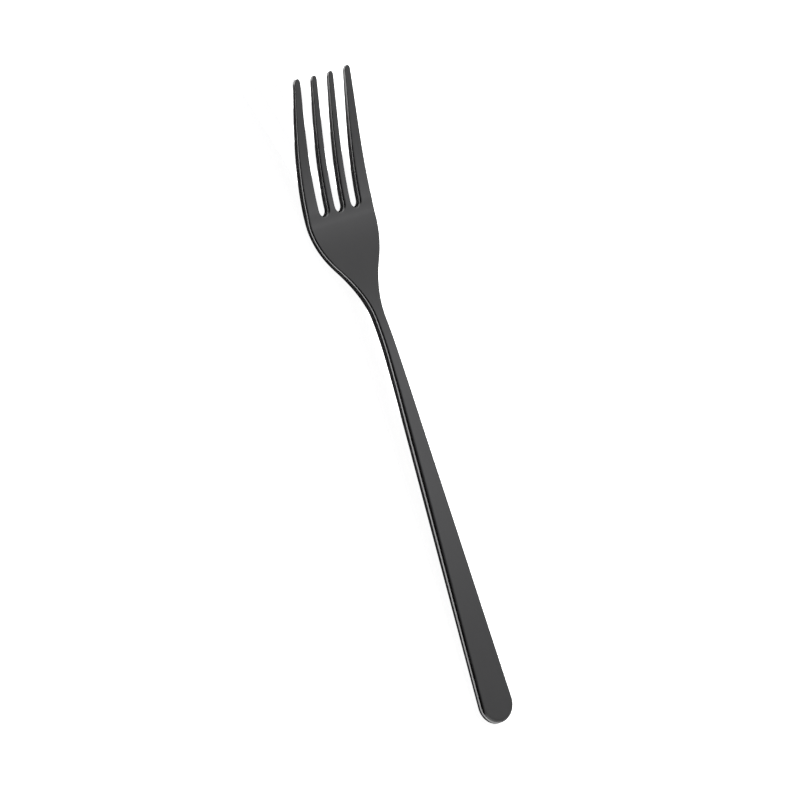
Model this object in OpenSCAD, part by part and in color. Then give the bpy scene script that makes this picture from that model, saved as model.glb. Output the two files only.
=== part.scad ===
// Dinner fork with a slim flat handle and four tines, dark coated steel.
// It lies on its back: the round handle end and the back of the head touch Z = 0.
// +Y runs towards the tines, X runs across, and every station is a distance from the handle end.

/* [Overall] */
// Length from the handle end to the tips of the tines
overall_length = 205; // [190:1:220]

/* [Handle] */
// Width of the handle beside its round end
handle_width = 12.5; // [9:0.1:14]
// Width of the handle where the neck begins
grip_width = 5.3; // [4:0.1:6]
// Thickness at the round end
end_thickness = 2.5; // [2.3:0.1:3]
// Greatest thickness of the handle
handle_thickness = 3; // [2.4:0.1:4]
// Height of the handle's back above the table where the neck begins
handle_rise = 3.2; // [1:0.1:6]
// Radius of the edges around the handle's face
handle_edge = 1.2; // [0.5:0.05:1.2]
// Radius of the edges around the handle's back
back_edge = 0.8; // [0.4:0.05:1]

/* [Neck] */
// Length of the narrow neck between handle and head
neck_length = 33.6; // [28:0.2:40]
// Width of the neck where it is narrowest
neck_width = 3.8; // [2.8:0.1:4]
// Thickness of the neck
neck_thickness = 3.1; // [2.2:0.1:3.2]
// Height of the neck's back above the table at its crest
neck_rise = 3.5; // [3.2:0.1:8]
// Radius of the edges from the neck to the slots
head_edge = 0.7; // [0.3:0.05:0.7]

/* [Head] */
// Length of the head, from the neck to the round ends of the slots
head_length = 31; // [26:0.2:36]
// Greatest width of the head
head_width = 25.6; // [23:0.1:28]
// Thickness of the palm, the broad part behind the slots
palm_thickness = 2.5; // [1.8:0.1:2.8]

/* [Tines] */
// Depth of the slots from the tips
slot_depth = 41.5; // [36:0.5:48]
// Width of a slot at its round end
slot_width = 3.6; // [3.2:0.05:4]
// Width of an inner tine where the slots end
tine_width = 2.65; // [2.2:0.05:3]
// Thickness of the tines where the slots end
tine_thickness = 2.9; // [2:0.1:3.2]
// Gap between neighbouring tips
tip_gap = 4.65; // [4.2:0.05:5.4]
// Width of an inner tip, before its rounding
tip_width = 1.8; // [1.4:0.05:2]
// Width of an outer tip, before its rounding
outer_tip_width = 2; // [1.6:0.05:2.4]
// Thickness at the tips
tip_thickness = 1.35; // [1.1:0.05:1.8]
// How far the two inner tips stay short of the outer ones
inner_setback = 0.35; // [0:0.05:1]
// Height of the tips' back above the table
tip_rise = 13.8; // [10:0.1:18]
// Height of the back where the tines' main bend ends
bend_rise = 2.2; // [1.5:0.05:3]
// Slope of the back where that bend ends, in degrees
bend_angle = 14.5; // [10:0.5:18]
// Slope of the tines at their tips, in degrees
tip_angle = 22.2; // [16:0.1:28]
// Length over which a tip is rounded off
tip_round = 1.7; // [0.8:0.1:1.8]
// Radius of the edges at the tips
tip_edge = 0.3; // [0.2:0.05:0.3]

/* [Hidden] */
// Depth taken off the handle's back to leave one true plane
back_skim = 0.02;
// How far cutters reach past what they cut
overrun = 1;

// Places along the length, as shares of the stretch that holds them
thickest_share = 0.8;
crest_share = 0.52;
waist_share = 0.83;
flare_share = 0.38;
flare_width_share = 0.56;
widest_share = 0.88;
lowest_share = 0.83;
bend_share = 0.22;

// Slopes where stretches meet, as shares of the stretch's average slope
flare_slope_share = 1.85;
taper_slope_share = 1.7;
thinning_slope_share = 1.26;
slot_root_share = 1.3;
slot_tip_share = 0.49;

// Mesh steps: rings per stretch, arc steps at a corner and around an end
handle_rings = 26;
neck_rings = 20;
head_rings = 30;
tine_rings = 22;
corner_steps = 4;
arc_steps = 9;
end_first_angle = 5;
tip_arc_steps = 5;
tip_first_angle = 14;
tine_count = 4;

handle_radius = handle_width / 2;
tine_length = slot_depth - slot_width / 2;
root_y = overall_length - tine_length;
neck_y = root_y - head_length;
handle_length = neck_y - neck_length;
crest_y = handle_length + crest_share * neck_length;
waist_y = handle_length + waist_share * neck_length;
flare_y = neck_y + flare_share * head_length;
widest_y = neck_y + widest_share * head_length;
lowest_y = neck_y + lowest_share * head_length;
bend_y = root_y + bend_share * tine_length;
handle_slope = handle_rise / handle_length;
handle_taper = (grip_width - handle_width) / (handle_length - handle_radius);
tip_span = 2 * outer_tip_width + (tine_count - 2) * tip_width + (tine_count - 1) * tip_gap;
flare_width = neck_width + flare_width_share * (head_width - neck_width);
flare_slope = flare_slope_share * (head_width - neck_width) / head_length;
tip_taper = taper_slope_share * (tip_span - head_width) / (overall_length - widest_y);
tip_thinning = thinning_slope_share * (tip_thickness - tine_thickness) / tine_length;
slot_slope = (tip_gap - slot_width) / tine_length;

// Each station is [distance, value, slope], and curve() joins them smoothly.
widths = [
    [handle_radius, handle_width, handle_taper],
    [handle_length, grip_width, handle_taper],
    [waist_y, neck_width, 0],
    [flare_y, flare_width, flare_slope],
    [widest_y, head_width, 0],
    [overall_length, tip_span, tip_taper]
];
backs = [
    [0, 0, handle_slope],
    [handle_length, handle_rise, handle_slope],
    [crest_y, neck_rise, 0],
    [lowest_y, 0, 0],
    [bend_y, bend_rise, tan(bend_angle)],
    [overall_length, tip_rise, tan(tip_angle)]
];
thicknesses = [
    [0, end_thickness, 0],
    [thickest_share * handle_length, handle_thickness, 0],
    [neck_y, neck_thickness, 0],
    [lowest_y, palm_thickness, 0],
    [root_y, tine_thickness, 0],
    [overall_length, tip_thickness, tip_thinning]
];
face_edges = [
    [0, handle_edge, 0],
    [thickest_share * handle_length, handle_edge, 0],
    [neck_y, head_edge, 0],
    [root_y, head_edge, 0],
    [overall_length, tip_edge, 0]
];
back_edges = [
    [0, back_edge, 0],
    [thickest_share * handle_length, back_edge, 0],
    [neck_y, head_edge, 0],
    [root_y, head_edge, 0],
    [overall_length, tip_edge, 0]
];
slot_gaps = [
    [root_y, slot_width, slot_root_share * slot_slope],
    [overall_length, tip_gap, slot_tip_share * slot_slope]
];

// Ways that a straight side faces, in plan
RIGHT = [1, 0];
LEFT = [-1, 0];

// Even steps between two values, both included
function steps(from, to, count) = [for (i = [0 : count]) from + (to - from) * i / count];

// The span of a station list that holds the distance y
function span(list, y, i = 0) =
    (i >= len(list) - 2 || y <= list[i + 1][0]) ? i : span(list, y, i + 1);

// The smooth curve through a station list, read at the distance y
function curve(list, y) =
    let (
        i = span(list, y),
        a = list[i],
        b = list[i + 1],
        h = b[0] - a[0],
        s = (y - a[0]) / h
    )
    a[1] * (1 + 2 * s) * pow(1 - s, 2)
        + b[1] * s * s * (3 - 2 * s)
        + h * (a[2] * s * pow(1 - s, 2) - b[2] * s * s * (1 - s));

// The slope of that curve, taken over a short step
function slope(list, y) =
    let (step = overall_length / 1000)
    (curve(list, y + step) - curve(list, y - step)) / (2 * step);

function half_width(y) = curve(widths, y) / 2;
function back_z(y) = curve(backs, y);

// Thickness measured upright, so that a sloping stretch keeps its thickness square to its face
function upright_thickness(y) =
    curve(thicknesses, y) * sqrt(1 + pow(slope(backs, y), 2));

// The rim at y as [inset, height, 0 from the back or 1 from the face], from the back to the face
function rim(y) =
    let (
        back = curve(back_edges, y),
        face = curve(face_edges, y)
    )
    concat(
        [for (a = steps(0, 90, corner_steps)) [back * (1 - sin(a)), back * (1 - cos(a)), 0]],
        [for (a = steps(0, 90, corner_steps)) [face * (1 - cos(a)), -face * (1 - sin(a)), 1]]
    );

// One side of a ring: the rim at the plan point (x, y), inset against the way it faces
function side(x, y, facing) = [
    for (p = rim(y))
        let (
            xx = x - p[0] * facing[0],
            yy = y - p[0] * facing[1]
        )
        [xx, yy - overall_length / 2, back_z(yy) + p[2] * upright_thickness(yy) + p[1]]
];

function flipped(points) = [for (i = [len(points) - 1 : -1 : 0]) points[i]];

// A ring square across, between two sides at the distance y
function ring(left, right, y) = concat(side(right, y, RIGHT), flipped(side(left, y, LEFT)));

// A ring around a round end: its middle (cx, cy), half width rx, length ry and the angle a
// from the far end. way is 1 for an end towards +Y and -1 for one towards -Y.
function end_ring(cx, cy, rx, ry, a, way) =
    let (
        n = [sin(a) * ry, way * cos(a) * rx] / norm([sin(a) * ry, cos(a) * rx]),
        x = rx * sin(a),
        y = cy + way * ry * cos(a)
    )
    concat(side(cx + x, y, n), flipped(side(cx - x, y, [-n[0], n[1]])));

// A stretch of the bar between two distances, square cut at both
function bar_rings(from, to, count) =
    [for (y = steps(from, to, count)) ring(-half_width(y), half_width(y), y)];

// Skins a list of rings and closes both ends
module loft(rings) {
    n = len(rings[0]);
    m = n / 2;
    last = (len(rings) - 1) * n;
    skin = [
        for (i = [0 : len(rings) - 2])
            for (k = [0 : n - 1])
                let (
                    a = i * n + k,
                    b = i * n + (k + 1) % n,
                    c = a + n,
                    d = b + n
                )
                each [[a, d, b], [a, c, d]]
    ];
    start = [
        for (k = [0 : m - 2])
            each [[k, k + 1, n - 1 - k], [k + 1, n - 2 - k, n - 1 - k]]
    ];
    finish = [
        for (f = start)
            [f[2] + last, f[1] + last, f[0] + last]
    ];
    polyhedron(points = [for (r = rings) each r], faces = concat(skin, start, finish));
}

// Edges of the slots: slot k of 1 to 3, and way -1 for its left edge or 1 for its right edge
function slot_edge(k, way, y) =
    let (
        gap = curve(slot_gaps, y),
        pitch = gap + tine_width + (tip_width - tine_width) * (y - root_y) / tine_length
    )
    (k - tine_count / 2) * pitch + way * gap / 2;

function tine_left(i, y) = i == 1 ? -half_width(y) : slot_edge(i - 1, 1, y);
function tine_right(i, y) = i == tine_count ? half_width(y) : slot_edge(i, -1, y);
function tip_y(i) = overall_length - ((i == 1 || i == tine_count) ? 0 : inner_setback);

module tine(i) {
    centre_y = tip_y(i) - tip_round * cos(tip_first_angle);
    left = tine_left(i, centre_y);
    right = tine_right(i, centre_y);
    loft(concat(
        [for (y = steps(root_y, centre_y, tine_rings)) ring(tine_left(i, y), tine_right(i, y), y)],
        [for (a = steps(90, tip_first_angle, tip_arc_steps))
            if (a < 90)
                end_ring((left + right) / 2, centre_y, (right - left) / 2, tip_round, a, 1)]
    ));
}

// A cutter for the round end of a slot, with its mouths eased like the tines' edges
module slot_end_cutter() {
    r = slot_width / 2;
    t = tine_thickness;
    reach = r + head_edge;
    rotate_extrude($fn = 48)
        polygon(concat(
            [[0, -overrun], [reach, -overrun]],
            [for (a = steps(0, 90, corner_steps))
                [r + head_edge * (1 - sin(a)), head_edge * (1 - cos(a))]],
            [for (a = steps(90, 0, corner_steps))
                [r + head_edge * (1 - sin(a)), t - head_edge * (1 - cos(a))]],
            [[reach, t + overrun], [0, t + overrun]]
        ));
}

module handle() {
    centre_y = handle_radius * cos(end_first_angle);
    color("dimgray")
        difference() {
            loft(concat(
                [for (a = steps(end_first_angle, 90, arc_steps))
                    if (a < 90) end_ring(0, centre_y, handle_radius, handle_radius, a, -1)],
                bar_rings(centre_y, handle_length, handle_rings)
            ));
            translate([0, -overall_length / 2, back_skim])
                rotate([atan(handle_slope), 0, 0])
                    translate([-handle_width / 2 - overrun, -overrun, -overrun])
                        cube([handle_width + 2 * overrun, handle_length + 3 * overrun, overrun]);
        }
}

module neck() {
    color("gray")
        loft(bar_rings(handle_length, neck_y, neck_rings));
}

module head() {
    color("dimgray")
        difference() {
            loft(bar_rings(neck_y, root_y, head_rings));
            for (k = [1 : tine_count - 1])
                translate([
                    slot_edge(k, -1, root_y) + slot_width / 2,
                    root_y - overall_length / 2,
                    back_z(root_y)
                ])
                    rotate([atan(slope(backs, root_y)), 0, 0])
                        slot_end_cutter();
        }
}

module tine_1() {
    color("gray") tine(1);
}

module tine_2() {
    color("darkgray") tine(2);
}

module tine_3() {
    color("gray") tine(3);
}

module tine_4() {
    color("darkgray") tine(4);
}

handle();
neck();
head();
tine_1();
tine_2();
tine_3();
tine_4();
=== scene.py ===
"""Dinner fork in dark coated steel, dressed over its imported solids."""

import logging
import math
from dataclasses import dataclass, field
from enum import Enum
from typing import Callable, Sequence, Union

import bmesh
import bpy
import numpy as np
from mathutils import Matrix, Vector
from mathutils.geometry import delaunay_2d_cdt


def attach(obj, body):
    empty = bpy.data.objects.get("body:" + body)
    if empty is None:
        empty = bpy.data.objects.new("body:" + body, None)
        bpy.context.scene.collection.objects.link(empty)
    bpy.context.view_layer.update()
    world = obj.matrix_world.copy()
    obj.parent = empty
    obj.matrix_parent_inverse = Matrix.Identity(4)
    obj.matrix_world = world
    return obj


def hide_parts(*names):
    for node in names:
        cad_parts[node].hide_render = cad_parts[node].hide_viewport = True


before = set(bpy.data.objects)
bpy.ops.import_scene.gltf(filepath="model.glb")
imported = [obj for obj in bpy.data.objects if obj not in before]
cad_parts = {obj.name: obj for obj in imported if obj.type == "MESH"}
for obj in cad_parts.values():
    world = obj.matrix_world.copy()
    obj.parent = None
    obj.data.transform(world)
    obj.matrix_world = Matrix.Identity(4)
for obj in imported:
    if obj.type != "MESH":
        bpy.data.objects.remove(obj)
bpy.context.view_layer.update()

log = logging.getLogger("fork")

MM = 0.001
BODY = "root"
IMAGE_WIDTH = 800
WHITE = (1.0, 1.0, 1.0, 1.0)
CORNER_STEPS = 8  # faces along each eased edge
SLOPE_STEP = 0.02  # millimetres
CUT_NORMAL = 0.9999  # the least y of a square cut's normal
QUAD = 4
NOISE_MIDDLE = 0.5
EASED_EDGE = "eased_edge"

Station = tuple[float, float, float]
Value = Union[float, int, "Wire"]
Heights = Callable[[np.ndarray], np.ndarray]


class Zone(Enum):
    """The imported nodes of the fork, from the handle end to the tips."""

    HANDLE = "handle"
    NECK = "neck"
    HEAD = "head"
    TINE_1 = "tine_1"
    TINE_2 = "tine_2"
    TINE_3 = "tine_3"
    TINE_4 = "tine_4"

    @property
    def piece_name(self) -> str:
        """The name of the finished piece that stands for this node."""
        return f"{self.value}_steel"


class Edge(Enum):
    """The two edges of a slot, as the way from the slot's middle."""

    LEFT = -1
    RIGHT = 1


# Node trees


class Wire:
    """A node socket that Python's operators build on."""

    def __init__(self, graph: "Graph", socket: bpy.types.NodeSocket) -> None:
        """Wraps an output socket of a node in graph."""
        self.graph = graph
        self.socket = socket

    def math(self, operation: str, *values: Value) -> "Wire":
        """Adds one Math node.

        Args:
            operation: The Math node's operation.
            values: Its inputs, in order.

        Returns:
            The node's result.
        """
        return self.graph.node("ShaderNodeMath", {"operation": operation}, dict(enumerate(values)))

    def __add__(self, other: Value) -> "Wire":
        """self + other."""
        return self.math("ADD", self, other)

    def __radd__(self, other: Value) -> "Wire":
        """other + self."""
        return self.math("ADD", other, self)

    def __sub__(self, other: Value) -> "Wire":
        """self - other."""
        return self.math("SUBTRACT", self, other)

    def __rsub__(self, other: Value) -> "Wire":
        """other - self."""
        return self.math("SUBTRACT", other, self)

    def __mul__(self, other: Value) -> "Wire":
        """self * other."""
        return self.math("MULTIPLY", self, other)

    def __rmul__(self, other: Value) -> "Wire":
        """other * self."""
        return self.math("MULTIPLY", other, self)

    def __truediv__(self, other: Value) -> "Wire":
        """self / other."""
        return self.math("DIVIDE", self, other)

    def __rtruediv__(self, other: Value) -> "Wire":
        """other / self."""
        return self.math("DIVIDE", other, self)

    def __lt__(self, other: Value) -> "Wire":
        """1 where self is below other, else 0."""
        return self.math("LESS_THAN", self, other)

    def __abs__(self) -> "Wire":
        """The size of self without its sign."""
        return self.math("ABSOLUTE", self)

    def clamped(self) -> "Wire":
        """self held between 0 and 1."""
        return self.graph.node("ShaderNodeClamp", {}, {"Value": self})

    def rounded(self) -> "Wire":
        """The whole number nearest to self."""
        return self.math("ROUND", self)


class Graph:
    """Adds nodes to one node tree."""

    def __init__(self, tree: bpy.types.NodeTree) -> None:
        """Starts on a tree, which may hold nodes already."""
        self.tree = tree

    def node(self, kind: str, settings: dict, sockets: dict, out: Union[int, str] = 0) -> Wire:
        """Adds any node.

        Args:
            kind: The node's type.
            settings: Its properties, by name.
            sockets: Values or wires for its inputs, by name or by index.
            out: The name or index of the output to return.

        Returns:
            The chosen output, or an empty wire where the node has none.
        """
        made = self.tree.nodes.new(kind)
        for name, value in settings.items():
            setattr(made, name, value)
        for name, value in sockets.items():
            if isinstance(value, Wire):
                self.tree.links.new(value.socket, made.inputs[name])
            else:
                made.inputs[name].default_value = value
        return Wire(self, made.outputs[out] if len(made.outputs) else None)

    def parts(self, vector: Wire) -> list[Wire]:
        """The x, y and z of a vector."""
        split = self.node("ShaderNodeSeparateXYZ", {}, {0: vector})
        return [Wire(self, socket) for socket in split.socket.node.outputs]


class SectionTree:
    """The Geometry Nodes tree that skins a path of sections into a solid bar with eased edges.

    The path is the modifier's own mesh: a row of points, one for each ring, which carry the
    section's sizes as attributes. The corners of every section are arcs. Corners 0 and 1 are on
    the face, 2 and 3 on the back, and 0 and 3 on the right.
    """

    NAME = "bar_of_sections"
    CORNERS = 4
    NUDGE = 0.01  # keeps a rounded place out of the corner before its own

    def __init__(self) -> None:
        """Builds the tree."""
        self.tree = bpy.data.node_groups.new(self.NAME, "GeometryNodeTree")
        face = self.tree.interface
        face.new_socket("Path", in_out="INPUT", socket_type="NodeSocketGeometry")
        steps = face.new_socket("Corner Steps", in_out="INPUT", socket_type="NodeSocketInt")
        steel = face.new_socket("Steel", in_out="INPUT", socket_type="NodeSocketMaterial")
        face.new_socket("Bar", in_out="OUTPUT", socket_type="NodeSocketGeometry")
        steps.default_value = CORNER_STEPS
        self.identifiers = {item.name: item.identifier for item in (steps, steel)}
        self._fill(Graph(self.tree))

    def _fill(self, g: Graph) -> None:
        """Adds the nodes.

        The rings start as those of a cylinder of radius and depth 1. Each of its vertices finds its
        ring, its corner and its angle on that corner's arc, and moves to its place on the section.

        Args:
            g: The tree.
        """
        entry = g.tree.nodes.new("NodeGroupInput")
        path, steps, steel = (Wire(g, entry.outputs[i]) for i in range(3))
        rings = g.node(
            "GeometryNodeAttributeDomainSize", {"component": "MESH"}, {0: path}, "Point Count"
        )
        places = (steps + 1) * self.CORNERS
        tube = g.node(
            "GeometryNodeMeshCylinder",
            {"fill_type": "NGON"},
            {"Vertices": places, "Side Segments": rings - 1, "Radius": 1.0, "Depth": 1.0},
        )
        u, v, w = g.parts(g.node("GeometryNodeInputPosition", {}, {}))
        ring = ((w + 0.5) * (rings - 1)).rounded()
        turn = v.math("ARCTAN2", v, u) / math.tau * places
        place = turn.math("FLOORED_MODULO", turn.rounded(), places)
        corner = place.math("FLOOR", (place + self.NUDGE) / (steps + 1))
        angle = (corner + (place - corner * (steps + 1)) / steps) * (math.pi / 2)
        across = abs(angle.math("COSINE", angle))
        upward = abs(angle.math("SINE", angle))
        half_way = (self.CORNERS - 1) / 2
        on_face = corner < half_way
        side = 1 - 2 * (abs(corner - half_way) < 1)

        def sampled(name: str, kind: str = "FLOAT_VECTOR") -> Wire:
            """An attribute of the path, read at this vertex's ring."""
            value = g.node("GeometryNodeInputNamedAttribute", {"data_type": kind}, {"Name": name})
            return g.node(
                "GeometryNodeSampleIndex",
                {"data_type": kind, "domain": "POINT"},
                {"Geometry": path, "Value": value, "Index": ring},
            )

        middle, ground, back = g.parts(sampled("middle"))
        facing_x, facing_y, _ = g.parts(sampled("facing"))
        back_edge, face_edge, _ = g.parts(sampled("edges"))
        back_slope, thick_slope, _ = g.parts(sampled("slopes"))
        half = sampled("half", "FLOAT")
        thick = sampled("thick", "FLOAT")

        edge = back_edge + on_face * (face_edge - back_edge)
        inset = edge * (1 - across)
        rise = edge * (1 - upward)
        shift = 0 - inset * facing_y
        above = on_face * (thick + thick_slope * shift)
        x = middle + side * (half - inset * facing_x)
        y = ground + shift
        z = back + back_slope * shift + above + rise * (1 - 2 * on_face)
        for name, value in (("ring", ring), ("place", place)):
            tube = g.node(
                "GeometryNodeStoreNamedAttribute",
                {"data_type": "INT", "domain": "POINT"},
                {"Geometry": tube, "Name": name, "Value": value},
            )
        spot = g.node("ShaderNodeCombineXYZ", {}, {"X": x, "Y": y, "Z": z})
        moved = g.node("GeometryNodeSetPosition", {}, {"Geometry": tube, "Position": spot})
        outward = g.node("GeometryNodeFlipFaces", {}, {"Mesh": moved})
        real = g.node("GeometryNodeRealizeInstances", {}, {"Geometry": outward})
        dressed = g.node("GeometryNodeSetMaterial", {}, {"Geometry": real, "Material": steel})
        exit_node = g.tree.nodes.new("NodeGroupOutput")
        g.tree.links.new(dressed.socket, exit_node.inputs[0])

    def skin(
        self, name: str, path: bpy.types.Mesh, corner_steps: int, steel: bpy.types.Material
    ) -> bpy.types.Object:
        """Turns a path into a finished plain mesh.

        Args:
            name: The new object's name.
            path: The row of points with the sections' sizes.
            corner_steps: Faces along each eased edge.
            steel: The finish.

        Returns:
            The bar, with its place in its mesh and no modifier left on it.
        """
        piece = bpy.data.objects.new(name, path)
        bpy.context.scene.collection.objects.link(piece)
        modifier = piece.modifiers.new("Sections", "NODES")
        modifier.node_group = self.tree
        modifier[self.identifiers["Corner Steps"]] = corner_steps
        modifier[self.identifiers["Steel"]] = steel
        graph = bpy.context.evaluated_depsgraph_get()
        solid = bpy.data.meshes.new_from_object(
            piece.evaluated_get(graph), preserve_all_data_layers=True, depsgraph=graph
        )
        piece.modifiers.clear()
        piece.data = solid
        solid.name = name
        bpy.data.meshes.remove(path)
        return piece


# Shape


class Curve:
    """A smooth curve through stations of (distance, value, slope)."""

    def __init__(self, stations: Sequence[Station]) -> None:
        """Keeps the stations in order of distance."""
        self.stations = list(stations)

    def __call__(self, y: np.ndarray) -> np.ndarray:
        """The curve's value.

        Args:
            y: The distances.

        Returns:
            One value for each distance.
        """
        y = np.asarray(y, float)
        value = np.zeros_like(y)
        for i, (a, b) in enumerate(zip(self.stations, self.stations[1:])):
            h = b[0] - a[0]
            s = (y - a[0]) / h
            piece = (
                a[1] * (1 + 2 * s) * (1 - s) ** 2
                + b[1] * s * s * (3 - 2 * s)
                + h * (a[2] * s * (1 - s) ** 2 - b[2] * s * s * (1 - s))
            )
            value = piece if i == 0 else np.where(y > a[0], piece, value)
        return value


def slope_of(curve: Heights, y: np.ndarray, step: float = SLOPE_STEP) -> np.ndarray:
    """The slope of any curve at the distances y, taken over a short step."""
    y = np.asarray(y, float)
    return (curve(y + step) - curve(y - step)) / (2 * step)


@dataclass(frozen=True)
class Blank:
    """The sizes of the whole forging, in millimetres.

    Distances, called y, run from the handle end. A share is a part of the length, width or even
    slope that it is multiplied by. The back's slope, which turns a thickness upright, is taken
    over steps of the overall length divided by slope_steps.
    """

    overall_length: float = 205.0
    handle_width: float = 12.5
    grip_width: float = 5.3
    end_thickness: float = 2.5
    handle_thickness: float = 3.0
    handle_rise: float = 3.2
    handle_edge: float = 1.2
    back_edge: float = 0.8
    neck_length: float = 33.6
    neck_width: float = 3.8
    neck_thickness: float = 3.1
    neck_rise: float = 3.5
    head_edge: float = 0.7
    head_length: float = 31.0
    head_width: float = 25.6
    palm_thickness: float = 2.5
    slot_depth: float = 41.5
    slot_width: float = 3.6
    tine_width: float = 2.65
    tine_thickness: float = 2.9
    tip_gap: float = 4.65
    tip_width: float = 1.8
    outer_tip_width: float = 2.0
    tip_thickness: float = 1.35
    inner_setback: float = 0.35
    tip_rise: float = 13.8
    bend_rise: float = 2.2
    bend_angle: float = 14.5
    tip_angle: float = 22.2
    tip_round: float = 1.7
    tip_edge: float = 0.3
    tine_count: int = 4
    thickest_share: float = 0.8
    crest_share: float = 0.52
    waist_share: float = 0.83
    flare_share: float = 0.38
    flare_width_share: float = 0.56
    flare_slope_share: float = 1.85
    widest_share: float = 0.88
    lowest_share: float = 0.83
    bend_share: float = 0.22
    taper_slope_share: float = 1.7
    thinning_share: float = 1.26
    slot_root_share: float = 1.3
    slot_tip_share: float = 0.49
    slope_steps: int = 1000

    @property
    def tine_length(self) -> float:
        """From the middle of a slot's round end to the tips."""
        return self.slot_depth - self.slot_width / 2

    @property
    def root_y(self) -> float:
        """Where the tines leave the head."""
        return self.overall_length - self.tine_length

    @property
    def neck_y(self) -> float:
        """Where the neck meets the head."""
        return self.root_y - self.head_length

    @property
    def handle_length(self) -> float:
        """Where the handle meets the neck."""
        return self.neck_y - self.neck_length

    @property
    def handle_radius(self) -> float:
        """Radius of the handle's round end in plan."""
        return self.handle_width / 2

    @property
    def thickest_y(self) -> float:
        """Where the handle is thickest."""
        return self.thickest_share * self.handle_length

    @property
    def widest_y(self) -> float:
        """Where the head is widest."""
        return self.neck_y + self.widest_share * self.head_length

    @property
    def lowest_y(self) -> float:
        """Where the head rests on the table."""
        return self.neck_y + self.lowest_share * self.head_length

    @property
    def widths(self) -> Curve:
        """The full width."""
        straight = self.handle_length - self.handle_radius
        handle_taper = (self.grip_width - self.handle_width) / straight
        flare = self.head_width - self.neck_width
        inner_tips = (self.tine_count - 2) * self.tip_width
        tips = 2 * self.outer_tip_width + inner_tips + (self.tine_count - 1) * self.tip_gap
        narrowing = self.taper_slope_share * (tips - self.head_width)
        return Curve([
            (self.handle_radius, self.handle_width, handle_taper),
            (self.handle_length, self.grip_width, handle_taper),
            (self.handle_length + self.waist_share * self.neck_length, self.neck_width, 0),
            (
                self.neck_y + self.flare_share * self.head_length,
                self.neck_width + self.flare_width_share * flare,
                self.flare_slope_share * flare / self.head_length,
            ),
            (self.widest_y, self.head_width, 0),
            (self.overall_length, tips, narrowing / (self.overall_length - self.widest_y)),
        ])

    @property
    def backs(self) -> Curve:
        """The height of the underside."""
        handle_slope = self.handle_rise / self.handle_length
        bend_slope = math.tan(math.radians(self.bend_angle))
        tip_slope = math.tan(math.radians(self.tip_angle))
        return Curve([
            (0, 0, handle_slope),
            (self.handle_length, self.handle_rise, handle_slope),
            (self.handle_length + self.crest_share * self.neck_length, self.neck_rise, 0),
            (self.lowest_y, 0, 0),
            (self.root_y + self.bend_share * self.tine_length, self.bend_rise, bend_slope),
            (self.overall_length, self.tip_rise, tip_slope),
        ])

    @property
    def thicknesses(self) -> Curve:
        """The thickness square to the face."""
        thinning = self.thinning_share * (self.tip_thickness - self.tine_thickness)
        return Curve([
            (0, self.end_thickness, 0),
            (self.thickest_y, self.handle_thickness, 0),
            (self.neck_y, self.neck_thickness, 0),
            (self.lowest_y, self.palm_thickness, 0),
            (self.root_y, self.tine_thickness, 0),
            (self.overall_length, self.tip_thickness, thinning / self.tine_length),
        ])

    @property
    def slot_gaps(self) -> Curve:
        """The width of a slot."""
        slope = (self.tip_gap - self.slot_width) / self.tine_length
        return Curve([
            (self.root_y, self.slot_width, self.slot_root_share * slope),
            (self.overall_length, self.tip_gap, self.slot_tip_share * slope),
        ])

    def edges(self, handle_radius: float) -> Curve:
        """The radius of the eased edges, from handle_radius on the handle to the tips' own."""
        return Curve([
            (0, handle_radius, 0),
            (self.thickest_y, handle_radius, 0),
            (self.neck_y, self.head_edge, 0),
            (self.root_y, self.head_edge, 0),
            (self.overall_length, self.tip_edge, 0),
        ])

    def half_width(self, y: np.ndarray) -> np.ndarray:
        """Half the full width at the distances y."""
        return self.widths(y) / 2

    def back(self, y: np.ndarray) -> np.ndarray:
        """The underside's height at the distances y."""
        return self.backs(y)

    def thick(self, y: np.ndarray) -> np.ndarray:
        """The thickness measured upright at the distances y."""
        step = self.overall_length / self.slope_steps
        return self.thicknesses(y) * np.sqrt(1 + slope_of(self.backs, y, step) ** 2)

    def face(self, y: np.ndarray) -> np.ndarray:
        """The face's height at the distances y."""
        return self.back(y) + self.thick(y)

    def slot_edge(self, slot: int, edge: Edge, y: np.ndarray) -> np.ndarray:
        """The edge of a slot.

        Args:
            slot: 1 to 3, from the left.
            edge: Its left or right edge.
            y: The distances.

        Returns:
            The places across, in millimetres.
        """
        y = np.asarray(y, float)
        gap = self.slot_gaps(y)
        taper = (self.tip_width - self.tine_width) * (y - self.root_y) / self.tine_length
        inner = self.tine_width + taper
        return (slot - self.tine_count / 2) * (gap + inner) + edge.value * gap / 2

    def tine_left(self, tine: int, y: np.ndarray) -> np.ndarray:
        """The left edge of tine 1 to 4."""
        if tine == 1:
            return -self.half_width(y)
        return self.slot_edge(tine - 1, Edge.RIGHT, y)

    def tine_right(self, tine: int, y: np.ndarray) -> np.ndarray:
        """The right edge of tine 1 to 4."""
        if tine == self.tine_count:
            return self.half_width(y)
        return self.slot_edge(tine, Edge.LEFT, y)

    def normals_at(self, y: np.ndarray, height: Heights, up: int) -> np.ndarray:
        """Normals of the flat face or back.

        Args:
            y: The distances.
            height: The surface's height.
            up: 1 for the face, -1 for the back.

        Returns:
            Unit vectors, one row for each distance.
        """
        slope = slope_of(height, y)
        found = np.stack([np.zeros_like(slope), -slope, np.ones_like(slope)], -1) * up
        return found / np.linalg.norm(found, axis=-1, keepdims=True)


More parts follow.
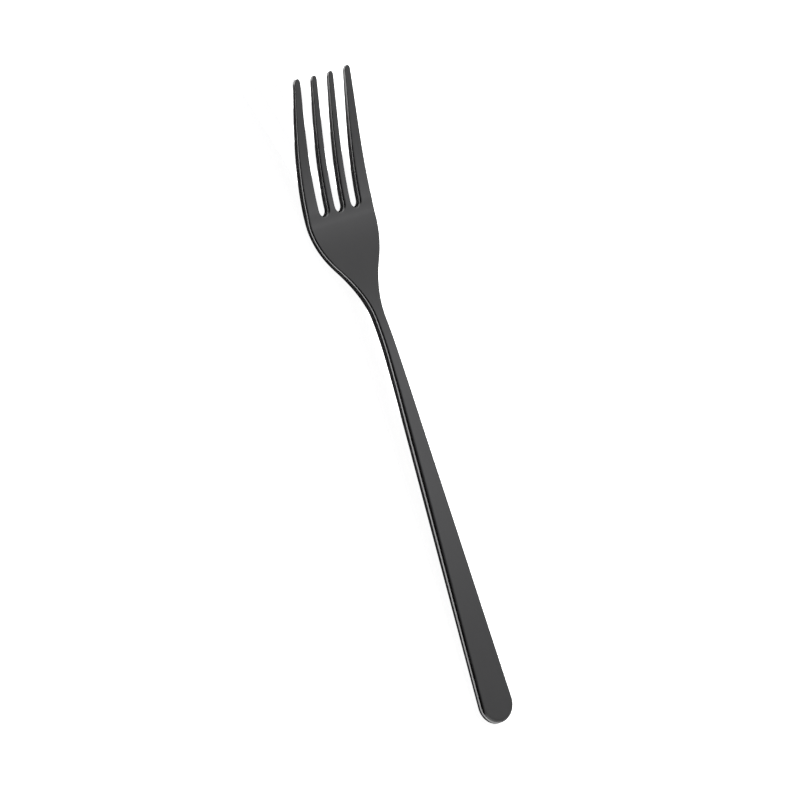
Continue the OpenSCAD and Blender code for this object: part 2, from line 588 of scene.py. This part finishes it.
@dataclass
class Sections:
    """A row of sections of the bar, in millimetres, from the handle end towards the tips."""

    LAST_ANGLE = 1.2

    blank: Blank
    middle: np.ndarray
    y: np.ndarray
    half: np.ndarray
    facing: np.ndarray

    @classmethod
    def along(
        cls, blank: Blank, y: np.ndarray, left: np.ndarray, right: np.ndarray
    ) -> "Sections":
        """Square sections between a left and a right edge."""
        facing = np.stack([np.ones_like(y), np.zeros_like(y)], -1)
        return cls(blank, (left + right) / 2, y, (right - left) / 2, facing)

    @classmethod
    def round_end(
        cls,
        blank: Blank,
        centre: tuple[float, float],
        half: float,
        length: float,
        way: int,
        count: int,
    ) -> "Sections":
        """The sections of a round end, without the one at its root.

        The outermost one is LAST_ANGLE degrees short of the very end, and keeps a little width.

        Args:
            blank: The whole forging.
            centre: Its middle, across and along.
            half: Half its width.
            length: How far it reaches, along.
            way: 1 for an end towards the tips, -1 for the handle's.
            count: How many sections.

        Returns:
            The sections in order from the handle end towards the tips.
        """
        angles = np.radians(np.linspace(90, cls.LAST_ANGLE, count + 1)[1:])
        if way < 0:
            angles = angles[::-1]
        facing = np.stack([np.sin(angles) * length, way * np.cos(angles) * half], -1)
        facing /= np.linalg.norm(facing, axis=1, keepdims=True)
        middle = np.full(count, centre[0])
        y = centre[1] + way * length * np.cos(angles)
        return cls(blank, middle, y, half * np.sin(angles), facing)

    def joined(self, other: "Sections") -> "Sections":
        """These sections and then the other ones."""
        return Sections(
            self.blank,
            np.concatenate([self.middle, other.middle]),
            np.concatenate([self.y, other.y]),
            np.concatenate([self.half, other.half]),
            np.concatenate([self.facing, other.facing]),
        )

    def path(self, name: str) -> bpy.types.Mesh:
        """The row of points that the section tree skins.

        Args:
            name: The mesh's name.

        Returns:
            The points in metres, with the sections' sizes as attributes.
        """
        blank, y = self.blank, self.y
        zero = np.zeros_like(y)
        back_edges, face_edges = blank.edges(blank.back_edge)(y), blank.edges(blank.handle_edge)(y)
        middle = np.stack([self.middle, y - blank.overall_length / 2, blank.back(y)], -1) * MM
        vectors = {
            "middle": middle,
            "edges": np.stack([back_edges, face_edges, zero], -1) * MM,
            "slopes": np.stack([slope_of(blank.back, y), slope_of(blank.thick, y), zero], -1),
            "facing": np.concatenate([self.facing, zero[:, None]], 1),
        }
        mesh = bpy.data.meshes.new(name)
        mesh.from_pydata(middle.tolist(), [(i, i + 1) for i in range(len(y) - 1)], [])
        for key, rows in vectors.items():
            made = mesh.attributes.new(key, "FLOAT_VECTOR", "POINT")
            made.data.foreach_set("vector", rows.ravel())
        for key, row in (("half", self.half * MM), ("thick", blank.thick(y) * MM)):
            mesh.attributes.new(key, "FLOAT", "POINT").data.foreach_set("value", row)
        return mesh


def strip_normals(blank: Blank, points: np.ndarray, outward: int) -> np.ndarray:
    """Normals of a strip of eased edge, from the back to the face.

    Args:
        blank: The whole forging.
        points: Rings by places by xyz, in metres, the places running from the back to the face.
        outward: 1 where the strip runs with the solid on its left, else -1.

    Returns:
        Unit normals in the same layout.
    """
    along = np.gradient(points, axis=0, edge_order=2)
    half = points.shape[1] // 2
    up = np.empty_like(points)
    up[:, 1:-1] = points[:, 2:] - points[:, :-2]
    up[:, half - 1] = up[:, half] = points[:, half] - points[:, half - 1]
    up[:, 0], up[:, -1] = up[:, 1], up[:, -2]
    found = np.cross(along, up) * outward
    found /= np.linalg.norm(found, axis=-1, keepdims=True)
    y = points[..., 1] / MM + blank.overall_length / 2
    found[:, 0] = blank.normals_at(y[:, 0], blank.back, -1)
    found[:, -1] = blank.normals_at(y[:, -1], blank.face, 1)
    return found


def is_cut(polygon: bpy.types.MeshPolygon) -> bool:
    """Whether a face is one of the square cuts where two zones meet."""
    return abs(polygon.normal.y) > CUT_NORMAL and len(polygon.vertices) > QUAD


def set_normals(mesh: bpy.types.Mesh, normals: np.ndarray) -> None:
    """Gives a mesh its custom normals.

    Args:
        mesh: The mesh, whose square cuts keep their own flat normals.
        normals: One normal for each vertex.
    """
    mesh.shade_smooth()
    rows = np.zeros((len(mesh.loops), 3))
    for polygon in mesh.polygons:
        cut = is_cut(polygon)
        for loop in polygon.loop_indices:
            rows[loop] = polygon.normal if cut else normals[mesh.loops[loop].vertex_index]
    mesh.normals_split_custom_set(rows.tolist())


def edge_ramp(count: int) -> np.ndarray:
    """The share of edge finish across an eased edge, from 0 on the flat to 1 at the wall."""
    return np.sin(np.linspace(0, math.pi / 2, count)) ** 2


def mark_edges(mesh: bpy.types.Mesh, eased: np.ndarray) -> None:
    """Stores each vertex's share of edge finish, from 0 on the flats to 1 on the walls."""
    made = mesh.attributes.new(EASED_EDGE, "FLOAT", "POINT")
    made.data.foreach_set("value", eased.astype(np.float32))


# Finish


@dataclass(frozen=True)
class Noise:
    """A noise pattern in the steel, on Object coordinates times scale."""

    scale: tuple[float, float, float]
    detail: float
    roughness: float

    def at(self, g: Graph, place: Wire) -> Wire:
        """The pattern at place, from 0 to 1."""
        scaled = g.node("ShaderNodeMapping", {}, {"Vector": place, "Scale": self.scale})
        return g.node(
            "ShaderNodeTexNoise",
            {},
            {"Vector": scaled, "Scale": 1.0, "Detail": self.detail, "Roughness": self.roughness},
        )


@dataclass(frozen=True)
class CoatedSteel:
    """Forged steel under a thin dark coating, satin on the faces and polished on the edges."""

    name: str = "coated_steel"
    colour: tuple[float, float, float] = (0.1, 0.1, 0.102)
    edge_colour: tuple[float, float, float] = (0.33, 0.33, 0.332)
    metallic: float = 1.0
    roughness: float = 0.4
    edge_roughness: float = 0.08
    specular_tint: float = 0.4
    coat: float = 0.1
    edge_coat: float = 0.5
    coat_roughness: float = 0.08
    coat_ior: float = 1.5
    mottle: float = 0.1
    mottle_roughness: float = 0.06
    grain: float = 0.04
    grain_roughness: float = 0.04
    grain_depth: float = 1e-6
    grain_height: float = 0.7
    speck_height: float = 0.3
    grain_noise: Noise = Noise((3800.0, 90.0, 3800.0), detail=2.0, roughness=0.55)
    mottle_noise: Noise = Noise((260.0, 120.0, 260.0), detail=3.0, roughness=0.6)
    speck_noise: Noise = Noise((2600.0, 2600.0, 2600.0), detail=1.0, roughness=0.5)

    def material(self) -> bpy.types.Material:
        """Builds the procedural material.

        Returns:
            The material, which reads the share of edge finish from the mesh.
        """
        steel = bpy.data.materials.new(self.name)
        steel.use_nodes = True
        steel.node_tree.nodes.clear()
        g = Graph(steel.node_tree)
        place = g.node("ShaderNodeTexCoord", {}, {}, "Object")
        grain = self.grain_noise.at(g, place)
        mottle = self.mottle_noise.at(g, place)
        specks = self.speck_noise.at(g, place)
        eased = g.node("ShaderNodeAttribute", {"attribute_name": EASED_EDGE}, {}, "Fac")
        cloud, streak = mottle - NOISE_MIDDLE, grain - NOISE_MIDDLE
        # The Mix node's colours are its inputs 6 and 7 and its output 2
        base = g.node(
            "ShaderNodeMix",
            {"data_type": "RGBA"},
            {0: eased, 6: (*self.colour, 1.0), 7: (*self.edge_colour, 1.0)},
            2,
        )
        shade = 1 + cloud * self.mottle + streak * self.grain
        tinted = g.node("ShaderNodeVectorMath", {"operation": "SCALE"}, {0: base, "Scale": shade})
        satin = self.roughness + cloud * self.mottle_roughness + streak * self.grain_roughness
        rough = satin + eased * (self.edge_roughness - satin)
        height = grain * self.grain_height + specks * self.speck_height
        bump = g.node(
            "ShaderNodeBump", {}, {"Strength": 1.0, "Distance": self.grain_depth, "Height": height}
        )
        surface = g.node(
            "ShaderNodeBsdfPrincipled",
            {},
            {
                "Base Color": tinted,
                "Metallic": self.metallic,
                "Roughness": rough,
                "Normal": bump,
                "Specular Tint": (self.specular_tint,) * 3 + (1.0,),
                "Coat Weight": self.coat + eased * self.edge_coat,
                "Coat Roughness": self.coat_roughness,
                "Coat IOR": self.coat_ior,
            },
        )
        g.node("ShaderNodeOutputMaterial", {}, {"Surface": surface})
        return steel


# Sub-assemblies


def finished(piece: bpy.types.Object, zone: Zone) -> bpy.types.Object:
    """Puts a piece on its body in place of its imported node.

    Args:
        piece: The dressed piece.
        zone: The node that it stands for.

    Returns:
        The same piece.
    """
    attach(piece, BODY)
    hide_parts(zone.value)
    log.info("%s: %d vertices", piece.name, len(piece.data.vertices))
    return piece


@dataclass
class Bar:
    """A stretch of the forging that the section tree skins."""

    blank: Blank
    zone: Zone
    corner_steps: int = CORNER_STEPS

    def sections(self) -> Sections:
        """The rings of this stretch."""
        raise NotImplementedError

    def build(self, tree: SectionTree, steel: bpy.types.Material) -> bpy.types.Object:
        """Makes the finished piece.

        Args:
            tree: The tree that skins its path.
            steel: Its finish.

        Returns:
            The piece on its body.
        """
        name = self.zone.piece_name
        path = self.sections().path(f"{name}_path")
        piece = tree.skin(name, path, self.corner_steps, steel)
        self._smooth(piece.data)
        return finished(piece, self.zone)

    def _smooth(self, mesh: bpy.types.Mesh) -> None:
        """Sets the normals and the edge finish from the ring and place of each vertex.

        Args:
            mesh: The skinned bar.
        """
        count = len(mesh.vertices)
        ring, place = np.zeros(count, np.int32), np.zeros(count, np.int32)
        mesh.attributes["ring"].data.foreach_get("value", ring)
        mesh.attributes["place"].data.foreach_get("value", place)
        points = np.zeros(count * 3, np.float32)
        mesh.vertices.foreach_get("co", points)
        points = points.reshape(-1, 3).astype(float)
        index = np.zeros((ring.max() + 1, place.max() + 1), int)
        index[ring, place] = np.arange(count)
        run = self.corner_steps + 1
        corners = np.arange(SectionTree.CORNERS * run).reshape(-1, run)
        right = np.concatenate([corners[3], corners[0]])
        left = np.concatenate([corners[2][::-1], corners[1][::-1]])
        normals = np.zeros_like(points)
        eased = np.zeros(count)
        ramp = edge_ramp(run)
        for places, outward in ((right, 1), (left, -1)):
            picked = index[:, places]
            normals[picked] = strip_normals(self.blank, points[picked], outward)
            eased[picked] = np.concatenate([ramp, ramp[::-1]])
        set_normals(mesh, normals)
        for name in ("ring", "place"):
            mesh.attributes.remove(mesh.attributes[name])
        mark_edges(mesh, eased)


@dataclass
class Handle(Bar):
    """The flat tapering handle with its round end."""

    rings: int = 90
    end_rings: int = 40

    def sections(self) -> Sections:
        """The round end and then the tapering bar.

        Returns:
            The sections from the end to the neck.
        """
        blank = self.blank
        y = np.linspace(blank.handle_radius, blank.handle_length, self.rings + 1)
        half = blank.half_width(y)
        radius = blank.handle_radius
        end = Sections.round_end(blank, (0.0, radius), radius, radius, -1, self.end_rings)
        return end.joined(Sections.along(blank, y, -half, half))


@dataclass
class Neck(Bar):
    """The narrow arched neck."""

    rings: int = 60

    def sections(self) -> Sections:
        """The rings between handle and head.

        Returns:
            The sections from the handle to the head.
        """
        y = np.linspace(self.blank.handle_length, self.blank.neck_y, self.rings + 1)
        half = self.blank.half_width(y)
        return Sections.along(self.blank, y, -half, half)


@dataclass
class Tine(Bar):
    """One of the four curved tines."""

    number: int = 1
    rings: int = 64
    end_rings: int = 14

    def sections(self) -> Sections:
        """The tapering tine and then its rounded tip.

        Returns:
            The sections from the head to the tip.
        """
        blank = self.blank
        outer = self.number in (1, blank.tine_count)
        tip_y = blank.overall_length - (0 if outer else blank.inner_setback)
        centre_y = tip_y - blank.tip_round
        y = np.linspace(blank.root_y, centre_y, self.rings + 1)
        left, right = blank.tine_left(self.number, y), blank.tine_right(self.number, y)
        bar = Sections.along(blank, y, left, right)
        centre = ((left[-1] + right[-1]) / 2, centre_y)
        half = (right[-1] - left[-1]) / 2
        tip = Sections.round_end(blank, centre, half, blank.tip_round, 1, self.end_rings)
        return bar.joined(tip)


@dataclass
class Head:
    """The flared head, with the round ends of the three slots."""

    INSIDE_ONLY = 1
    TOLERANCE = 1e-7

    blank: Blank
    corner_steps: int = CORNER_STEPS
    rings: int = 64
    notch_steps: int = 36
    notch_margin: float = 0.6
    grid: float = 0.55
    clearance_share: float = 0.6
    points: list = field(default_factory=list)
    normals: list = field(default_factory=list)
    eased: list = field(default_factory=list)
    faces: list = field(default_factory=list)

    def build(self, steel: bpy.types.Material) -> bpy.types.Object:
        """Makes the finished piece.

        Args:
            steel: Its finish.

        Returns:
            The piece on its body.
        """
        blank = self.blank
        y = np.linspace(blank.neck_y, blank.root_y, self.rings + 1)
        half = blank.half_width(y)
        level = np.zeros_like(y)
        right = self._strip(half, y, np.stack([level + 1, level], -1), level, 1)
        left = self._strip(-half, y, np.stack([level - 1, level], -1), level, -1)
        notches = [self._notch(slot) for slot in range(1, blank.tine_count)]
        notch_low = blank.root_y - blank.slot_width / 2 - blank.head_edge - self.notch_margin
        split = int(np.searchsorted(y, notch_low)) - 1
        for place, up in ((0, -1), (-1, 1)):
            a, b = left[:, place], right[:, place]
            for j in range(split):
                self.faces.append((a[j], b[j], b[j + 1], a[j + 1]))
            self._fill(b[split:], a[split:], [notch[:, place] for notch in notches], up)
        self.faces.append(tuple(right[0]) + tuple(left[0][::-1]))
        inner = [edge for notch in notches for edge in (notch[-1], notch[0])]
        rims = [left[-1]] + inner + [right[-1]]
        for rim, next_rim in zip(rims[::2], rims[1::2]):
            self.faces.append(tuple(next_rim) + tuple(rim[::-1]))
        return finished(self._mesh(steel), Zone.HEAD)

    def _add(self, points: np.ndarray, normals: np.ndarray, eased: np.ndarray) -> np.ndarray:
        """Stores vertices.

        Args:
            points: Their places in metres, in any layout.
            normals: Their normals in the same layout.
            eased: Their shares of edge finish.

        Returns:
            Their numbers in the same layout.
        """
        first = sum(len(rows) for rows in self.points)
        self.points.append(points.reshape(-1, 3))
        self.normals.append(normals.reshape(-1, 3))
        self.eased.append(eased.ravel())
        return np.arange(first, first + points.size // 3).reshape(points.shape[:-1])

    def _strip(
        self, x: np.ndarray, y: np.ndarray, facing: np.ndarray, tilt: np.ndarray, outward: int
    ) -> np.ndarray:
        """A strip of wall with both its eased edges.

        Args:
            x: Places across of the outline, in millimetres.
            y: Distances of the outline.
            facing: Plan directions that the wall faces.
            tilt: How far the wall leans back for each millimetre of height.
            outward: 1 where the strip runs with the solid on its left, else -1.

        Returns:
            The vertex numbers, outline points by places from the back to the face.
        """
        blank = self.blank
        a = np.radians(np.linspace(0, 90, self.corner_steps + 1))
        radius = blank.edges(blank.head_edge)(y)[:, None]
        inset = radius * np.concatenate([1 - np.sin(a), 1 - np.cos(a)])
        on_face = np.concatenate([np.zeros_like(a), np.ones_like(a)])
        height = radius * np.concatenate([1 - np.cos(a), np.sin(a) - 1])
        above = on_face * blank.thick(y)[:, None] + height
        xx = x[:, None] - inset * facing[:, :1]
        yy = y[:, None] - inset * facing[:, 1:] - above * tilt[:, None]
        zz = blank.back(yy) + on_face * blank.thick(yy) + height
        points = np.stack([xx, yy - blank.overall_length / 2, zz], -1) * MM
        ramp = edge_ramp(len(a))
        eased = np.tile(np.concatenate([ramp, ramp[::-1]]), (len(y), 1))
        made = self._add(points, strip_normals(blank, points, outward), eased)
        for i in range(made.shape[0] - 1):
            for j in range(made.shape[1] - 1):
                self.faces.append((made[i, j], made[i + 1, j], made[i + 1, j + 1], made[i, j + 1]))
        return made

    def _notch(self, slot: int) -> np.ndarray:
        """The strip round the end of a slot.

        Args:
            slot: 1 to 3, from the left.

        Returns:
            The vertex numbers, from the slot's right side to its left.
        """
        blank = self.blank
        middle = sum(blank.slot_edge(slot, edge, blank.root_y) for edge in Edge) / len(Edge)
        angles = np.radians(np.linspace(0, 180, self.notch_steps + 1))
        radius = blank.slot_width / 2
        x, y = middle + radius * np.cos(angles), blank.root_y - radius * np.sin(angles)
        facing = np.stack([-np.cos(angles), np.sin(angles)], -1)
        tilt = np.sin(angles) * slope_of(blank.back, blank.root_y)
        return self._strip(x, y, facing, tilt, 1)

    def _fill(self, right: np.ndarray, left: np.ndarray, notches: list, up: int) -> None:
        """Fills the face or the back between the slots' ends.

        Args:
            right: Vertex numbers of the right rim, towards the tips.
            left: Vertex numbers of the left rim, towards the tips.
            notches: Vertex numbers of each slot's rim, from its right to its left.
            up: 1 for the face, -1 for the back.
        """
        blank = self.blank
        loop = list(right)
        for notch in notches[::-1]:
            loop += list(notch)
        loop += list(left[::-1])
        known = np.concatenate(self.points)
        plan = known[loop][:, :2] / MM
        y = np.arange(plan[:, 1].min() + self.grid / 2, plan[:, 1].max(), self.grid)
        x = np.arange(-blank.head_width / 2, blank.head_width / 2, self.grid)
        spots = np.stack(np.meshgrid(x, y), -1).reshape(-1, 2)
        gaps = np.linalg.norm(spots[:, None] - plan[None], axis=-1).min(1)
        spots = spots[gaps > self.grid * self.clearance_share]
        corners = [Vector(p) for p in plan.tolist() + spots.tolist()]
        verts, _, faces, sources, _, _ = delaunay_2d_cdt(
            corners, [], [list(range(len(loop)))], self.INSIDE_ONLY, self.TOLERANCE
        )
        number = {}
        for i, source in enumerate(sources):
            if source and min(source) < len(loop):
                number[i] = loop[min(source)]
        used = sorted({i for face in faces for i in face} - set(number))
        fresh = np.array([verts[i][:] for i in used])
        distance = fresh[:, 1] + blank.overall_length / 2
        height = blank.face if up > 0 else blank.back
        placed = np.concatenate([fresh, height(distance)[:, None]], 1) * MM
        numbers = self._add(placed, blank.normals_at(distance, height, up), np.zeros(len(used)))
        number.update(zip(used, numbers.tolist()))
        self.faces += [tuple(number[i] for i in face) for face in faces]

    def _mesh(self, steel: bpy.types.Material) -> bpy.types.Object:
        """Joins the parts into one closed mesh.

        Args:
            steel: Its finish.

        Returns:
            The head, not yet on its body.
        """
        mesh = bpy.data.meshes.new(Zone.HEAD.piece_name)
        points = np.concatenate(self.points)
        mesh.from_pydata(points.tolist(), [], [tuple(int(i) for i in face) for face in self.faces])
        work = bmesh.new()
        work.from_mesh(mesh)
        bmesh.ops.recalc_face_normals(work, faces=work.faces)
        if work.calc_volume(signed=True) < 0:
            bmesh.ops.reverse_faces(work, faces=work.faces)
        loose = sum(1 for edge in work.edges if not edge.is_manifold)
        work.to_mesh(mesh)
        work.free()
        log.info("head: %d open edges", loose)
        mesh.materials.append(steel)
        set_normals(mesh, np.concatenate(self.normals))
        mark_edges(mesh, np.concatenate(self.eased))
        piece = bpy.data.objects.new(mesh.name, mesh)
        bpy.context.scene.collection.objects.link(piece)
        return piece


# Studio


@dataclass(frozen=True)
class Panel:
    """A flat light above the fork's right, brightest in its middle and dark at its rim.

    Its tilt is in degrees from overhead. Where mirrored is False, gloss doesn't show it.
    """

    name: str
    tilt: float
    distance: float
    width: float
    height: float
    brightness: float
    mirrored: bool = True

    @staticmethod
    def _faded(place: Wire) -> Wire:
        """1 in the middle of the light, where place is a half, and 0 at its rim."""
        return (place * (1 - place) * 4).clamped()

    def build(self) -> None:
        """Adds the light."""
        lamp = bpy.data.lights.new(self.name, "AREA")
        lamp.shape = "RECTANGLE"
        lamp.size, lamp.size_y = self.width, self.height
        lamp.energy = self.brightness * math.pi * self.width * self.height
        lamp.use_nodes = True
        lamp.node_tree.nodes.clear()
        g = Graph(lamp.node_tree)
        across, up, _ = g.parts(g.node("ShaderNodeNewGeometry", {}, {}, "Parametric"))
        fade = self._faded(across) * self._faded(up)
        glow = g.node("ShaderNodeEmission", {}, {"Color": WHITE, "Strength": fade})
        g.node("ShaderNodeOutputLight", {}, {"Surface": glow})
        tilt = math.radians(self.tilt)
        away = Vector((math.sin(tilt), 0, math.cos(tilt)))
        side = Vector((0, 1, 0))
        turn = Matrix((side.cross(away), side, away)).transposed().to_4x4()
        made = bpy.data.objects.new(self.name, lamp)
        made.matrix_world = Matrix.Translation(away * self.distance) @ turn
        made.visible_glossy = self.mirrored
        bpy.context.scene.collection.objects.link(made)


@dataclass
class Studio:
    """The pale floor, the soft light and the camera.

    Angles are in degrees, the camera's shift is in millimetres and other lengths are in metres.
    """

    camera_tilt: float = 36.792
    camera_lean: float = -0.489
    camera_roll: float = 17.695
    camera_distance: float = 2.224
    pixels_per_mm: float = 3.283
    shift_right: float = 1.045
    shift_up: float = 0.895
    sensor_width: float = 36.0
    nearest: float = 0.05
    farthest: float = 50.0
    floor_size: float = 8.0
    floor_grey: float = 0.8
    floor_glow: float = 0.955
    room: float = 0.03
    dome: float = 0.48
    dome_start: float = 0.22
    dome_span: float = 0.7
    dome_sides: float = 1.2
    dome_lift: float = 0.7
    dark: float = 0.012
    panels: tuple[Panel, ...] = (
        Panel("panel_right", tilt=37.0, distance=0.42, width=0.36, height=0.24, brightness=1.15),
        Panel(
            "key_right",
            tilt=37.0,
            distance=0.7,
            width=0.028,
            height=0.028,
            brightness=6800.0,
            mirrored=False,
        ),
    )

    def build(self) -> None:
        """Makes everything that isn't the fork."""
        self._camera()
        self._floor()
        self._world()
        for panel in self.panels:
            panel.build()
            log.info("light %s", panel.name)

    def _camera(self) -> None:
        """Sets the camera at the photograph's angle."""
        angles = (self.camera_tilt, self.camera_lean, self.camera_roll)
        tilt, lean, roll = (math.radians(angle) for angle in angles)
        right = Vector((math.cos(tilt), 0, math.sin(tilt)))
        level = math.cos(lean)
        back = Vector((-math.sin(tilt) * level, -math.sin(lean), math.cos(tilt) * level))
        up = back.cross(right).normalized()
        image_right = right * math.cos(roll) - up * math.sin(roll)
        image_up = right * math.sin(roll) + up * math.cos(roll)
        shift = (image_right * self.shift_right + image_up * self.shift_up) * MM
        eye = back * self.camera_distance + shift
        data = bpy.data.cameras.new("camera")
        data.sensor_width = self.sensor_width
        data.lens = (
            self.sensor_width * self.camera_distance * self.pixels_per_mm / (IMAGE_WIDTH * MM)
        )
        data.clip_start, data.clip_end = self.nearest, self.farthest
        camera = bpy.data.objects.new("camera", data)
        turn = Matrix((image_right, image_up, back)).transposed()
        camera.matrix_world = Matrix.Translation(eye) @ turn.to_4x4()
        bpy.context.scene.collection.objects.link(camera)
        bpy.context.scene.camera = camera

    def _floor(self) -> None:
        """Lays the plain pale floor, which keeps the fork's shadow."""
        half = self.floor_size / 2
        mesh = bpy.data.meshes.new("floor")
        corners = [(-half, -half, 0), (half, -half, 0), (half, half, 0), (-half, half, 0)]
        mesh.from_pydata(corners, [], [(0, 1, 2, 3)])
        paper = bpy.data.materials.new("white_paper")
        paper.use_nodes = True
        paper.node_tree.nodes.clear()
        g = Graph(paper.node_tree)
        grey = (self.floor_grey,) * 3 + (1.0,)
        lit = g.node("ShaderNodeBsdfDiffuse", {}, {"Color": grey})
        white = g.node("ShaderNodeLightPath", {}, {}, "Is Camera Ray") * self.floor_glow
        glow = g.node("ShaderNodeEmission", {}, {"Color": WHITE, "Strength": white})
        surface = g.node("ShaderNodeAddShader", {}, {0: lit, 1: glow})
        g.node("ShaderNodeOutputMaterial", {}, {"Surface": surface})
        mesh.materials.append(paper)
        floor = bpy.data.objects.new("floor", mesh)
        bpy.context.scene.collection.objects.link(floor)

    def _world(self) -> None:
        """A surround that is white for the camera and dim for matt surfaces.

        Gloss sees a dome that goes from dark on the fork's left to pale on its right.
        """
        world = bpy.data.worlds.new("surround")
        bpy.context.scene.world = world
        world.use_nodes = True
        world.node_tree.nodes.clear()
        g = Graph(world.node_tree)
        camera = g.node("ShaderNodeLightPath", {}, {}, "Is Camera Ray")
        glossy = g.node("ShaderNodeLightPath", {}, {}, "Is Glossy Ray")
        x, y, _ = g.parts(g.node("ShaderNodeTexCoord", {}, {}, "Generated"))
        share = ((x + abs(y) * self.dome_sides + self.dome_start) / self.dome_span).clamped()
        lift = 1 + y.clamped() * self.dome_lift
        dome = (share * share * (3 - 2 * share) * (self.dome - self.dark) + self.dark) * lift
        strength = camera + (1 - camera) * (glossy * dome + (1 - glossy) * self.room)
        light = g.node("ShaderNodeBackground", {}, {"Color": WHITE, "Strength": strength})
        g.node("ShaderNodeOutputWorld", {}, {"Surface": light})


def main() -> None:
    """Builds the fork and its studio in order."""
    logging.basicConfig(level=logging.INFO, format="%(message)s")
    bpy.context.scene.view_settings.view_transform = "Standard"
    studio = Studio()
    studio.build()
    steel = CoatedSteel().material()
    blank = Blank()
    tree = SectionTree()
    pieces = [
        Handle(blank, Zone.HANDLE).build(tree, steel),
        Neck(blank, Zone.NECK).build(tree, steel),
        Head(blank).build(steel),
    ]
    for number in range(1, blank.tine_count + 1):
        pieces.append(Tine(blank, Zone(f"tine_{number}"), number=number).build(tree, steel))
    log.info("%d pieces", len(pieces))


if __name__ == "__main__":
    main()
